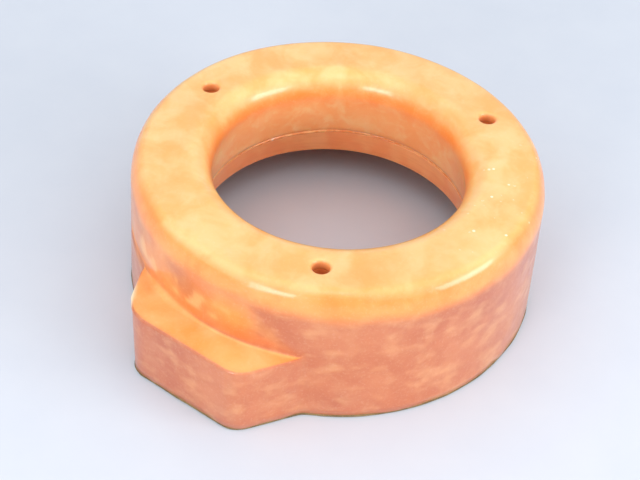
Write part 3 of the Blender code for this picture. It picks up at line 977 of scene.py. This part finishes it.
def glass_mat():
    s = Surface("glass_mat")
    one_way = s.remap(s.noise(210, 5, 0.7, 0.3, (1.0, 1.0, 6.0)), 0.40, 0.62)
    other_way = s.remap(s.noise(210, 5, 0.7, 0.3, (5.0, 5.0, 1.0)), 0.42, 0.64)
    strands = s.math("MAXIMUM", one_way, other_way)
    base = s.mix(strands, srgb(172, 118, 62), srgb(222, 182, 124))
    s.colour(s.mix(s.math("MULTIPLY", s.remap(s.noise(60, 3), 0.4, 0.7), 0.3), base, srgb(150, 92, 44)))
    s.roughness(s.remap(strands, 0, 1, 0.35, 0.62))
    s.bump([(strands, 0.5, 0.0003), (s.noise(90, 3), 0.3, 0.0006)])
    return s.material


def brass_tube():
    s = Surface("brass_tube")
    tarnish = s.remap(s.noise(160, 4, 0.65), 0.42, 0.66)
    drawn = s.noise(420, 3, 0.6, 0.0, (1.0, 1.0, 0.05))
    bright = s.mix(s.remap(drawn, 0.35, 0.65), srgb(204, 150, 82), srgb(222, 176, 108))
    metal = s.mix(tarnish, bright, srgb(158, 100, 52))
    stain = s.remap(s.axis("Z"), HEIGHT - 13 * MM, HEIGHT - 9 * MM)  # resin run into the upper end
    s.colour(s.mix(stain, metal, srgb(250, 158, 92)))
    s.roughness(s.remap(tarnish, 0, 1, 0.36, 0.6))
    clean = s.math("SUBTRACT", 1.0, stain)
    s.link(s.math("MULTIPLY", s.remap(tarnish, 0, 1, 0.9, 0.3), clean), s.shader.inputs["Metallic"])
    s.bump([(drawn, 0.18, 0.0001)])
    return s.material


def gasket_foam():
    s = Surface("gasket_foam")
    cells = s.remap(s.cells(1500), 0.1, 0.5)
    base = s.mix(s.remap(s.noise(180, 4, 0.6), 0.38, 0.64), srgb(122, 104, 70), srgb(158, 134, 92))
    s.colour(s.mix(s.math("MULTIPLY", cells, 0.35), base, srgb(92, 76, 48)))
    s.roughness(s.remap(s.noise(500, 2), 0.3, 0.7, 0.78, 0.95))
    s.bump([(cells, 0.5, 0.00025), (s.noise(200, 3), 0.3, 0.0003)])
    return s.material


def floor_paper():
    s = Surface("floor_paper")
    s.colour(s.mix(s.noise(30, 3), srgb(206, 214, 228), srgb(214, 221, 233)))
    s.roughness(s.remap(s.noise(300, 3), 0.3, 0.7, 0.72, 0.82))
    return s.material


def dress(piece, material):
    piece.data.materials.clear()
    piece.data.materials.append(material)


# ---------------------------------------------------------------------------------------------
# Camera, lights and floor
# ---------------------------------------------------------------------------------------------

CAMERA_AZIMUTH = math.radians(33.0)  # from -Y towards +X
CAMERA_ELEVATION = math.radians(42.35)
CAMERA_ROLL = math.radians(-4.25)
CAMERA_DISTANCE = 0.583
CAMERA_AIM = (-4.9 * MM, 10.8 * MM)  # right and up of the bore's axis at the floor
LENS_MM = 72.8
SENSOR_MM = 36
SKY_COLOUR = (0.93, 0.96, 1.0, 1.0)
SKY_STRENGTH = 0.44
SOFTBOX_COLOUR = (1.0, 0.98, 0.95)
FILL_COLOUR = (1.0, 0.99, 0.97)
FLOOR_REACH = 2.5


def direction(azimuth, elevation):
    """Unit vector towards an azimuth from -Y, anticlockwise, and an elevation."""
    flat = math.cos(elevation)
    return Vector((math.sin(azimuth) * flat, -math.cos(azimuth) * flat, math.sin(elevation)))


def make_camera():
    back = direction(CAMERA_AZIMUTH, CAMERA_ELEVATION)
    level = Vector((math.cos(CAMERA_AZIMUTH), math.sin(CAMERA_AZIMUTH), 0))
    rise = back.cross(level)
    right = level * math.cos(CAMERA_ROLL) - rise * math.sin(CAMERA_ROLL)
    up = level * math.sin(CAMERA_ROLL) + rise * math.cos(CAMERA_ROLL)
    aim = Vector((0, AXIS_Y, 0)) + right * CAMERA_AIM[0] + up * CAMERA_AIM[1]
    data = bpy.data.cameras.new("camera")
    data.sensor_width = SENSOR_MM
    data.lens = LENS_MM
    data.clip_start = 0.01
    camera = bpy.data.objects.new("camera", data)
    turn = Matrix((right, up, back)).transposed().to_4x4()
    camera.matrix_world = Matrix.Translation(aim + back * CAMERA_DISTANCE) @ turn
    bpy.context.scene.collection.objects.link(camera)
    bpy.context.scene.camera = camera


def area_light(name, azimuth, elevation, distance, size, power, colour):
    """A soft box that faces the object; azimuth is from the camera's, anticlockwise."""
    data = bpy.data.lights.new(name, "AREA")
    data.shape = "RECTANGLE"
    data.size, data.size_y = size
    data.energy = power
    data.color = colour
    light = bpy.data.objects.new(name, data)
    towards = direction(CAMERA_AZIMUTH + math.radians(azimuth), math.radians(elevation))
    aim = Vector((0, 0, HEIGHT / 2))
    light.location = aim + towards * distance
    light.rotation_euler = towards.to_track_quat("Z", "Y").to_euler()
    bpy.context.scene.collection.objects.link(light)


def make_lights():
    world = bpy.data.worlds.new("studio")
    world.use_nodes = True
    sky = world.node_tree.nodes["Background"]
    sky.inputs["Color"].default_value = SKY_COLOUR
    sky.inputs["Strength"].default_value = SKY_STRENGTH
    bpy.context.scene.world = world
    area_light("left_softbox", -28, 18, 0.95, (0.36, 0.30), 3.1, SOFTBOX_COLOUR)
    area_light("right_softbox", 68, 18, 0.95, (0.52, 0.28), 3.9, SOFTBOX_COLOUR)
    area_light("left_fill", -54, 50, 1.6, (2.0, 2.0), 13.0, FILL_COLOUR)
    area_light("right_fill", 58, 50, 1.6, (2.0, 2.0), 12.0, FILL_COLOUR)
    area_light("back_fill", 180, 44, 1.6, (2.0, 2.0), 6.0, FILL_COLOUR)


def make_floor():
    bm = bmesh.new()
    bmesh.ops.create_grid(bm, x_segments=8, y_segments=8, size=FLOOR_REACH)
    mesh = bpy.data.meshes.new("floor")
    bm.to_mesh(mesh)
    bm.free()
    floor = add_piece("floor", mesh)
    floor.location.z = -FLOOR_GAP
    dress(floor, floor_paper())


# ---------------------------------------------------------------------------------------------


def main():
    scene = bpy.context.scene
    scene.view_settings.view_transform = "Standard"
    make_camera()
    make_lights()
    make_floor()
    resin = moulded_resin()
    laminate = laminating_resin()
    brass = brass_tube()
    replaced = [
        (make_shell(), "shell_moulding", "moulded_resin", resin),
        (make_collar(), "collar_ring", "collar_resin", collar_resin()),
        (make_bead(), "seam_bead", "laminating_resin", bead_resin()),
        (make_strap(), "joint_strap", "glass_mat", glass_mat()),
        (make_gasket(), "base_gasket", "gasket_foam", gasket_foam()),
    ]
    for piece, node, slot, material in replaced:
        dress(piece, material)
        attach(piece, "root")
        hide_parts(node)
    for name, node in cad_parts.items():
        if name.startswith("spacer_tube"):
            dress(node, brass)
        if name.startswith(("tube_boss", "tube_saddle")):
            dress(node, laminate)


main()
bpy.context.view_layer.update()
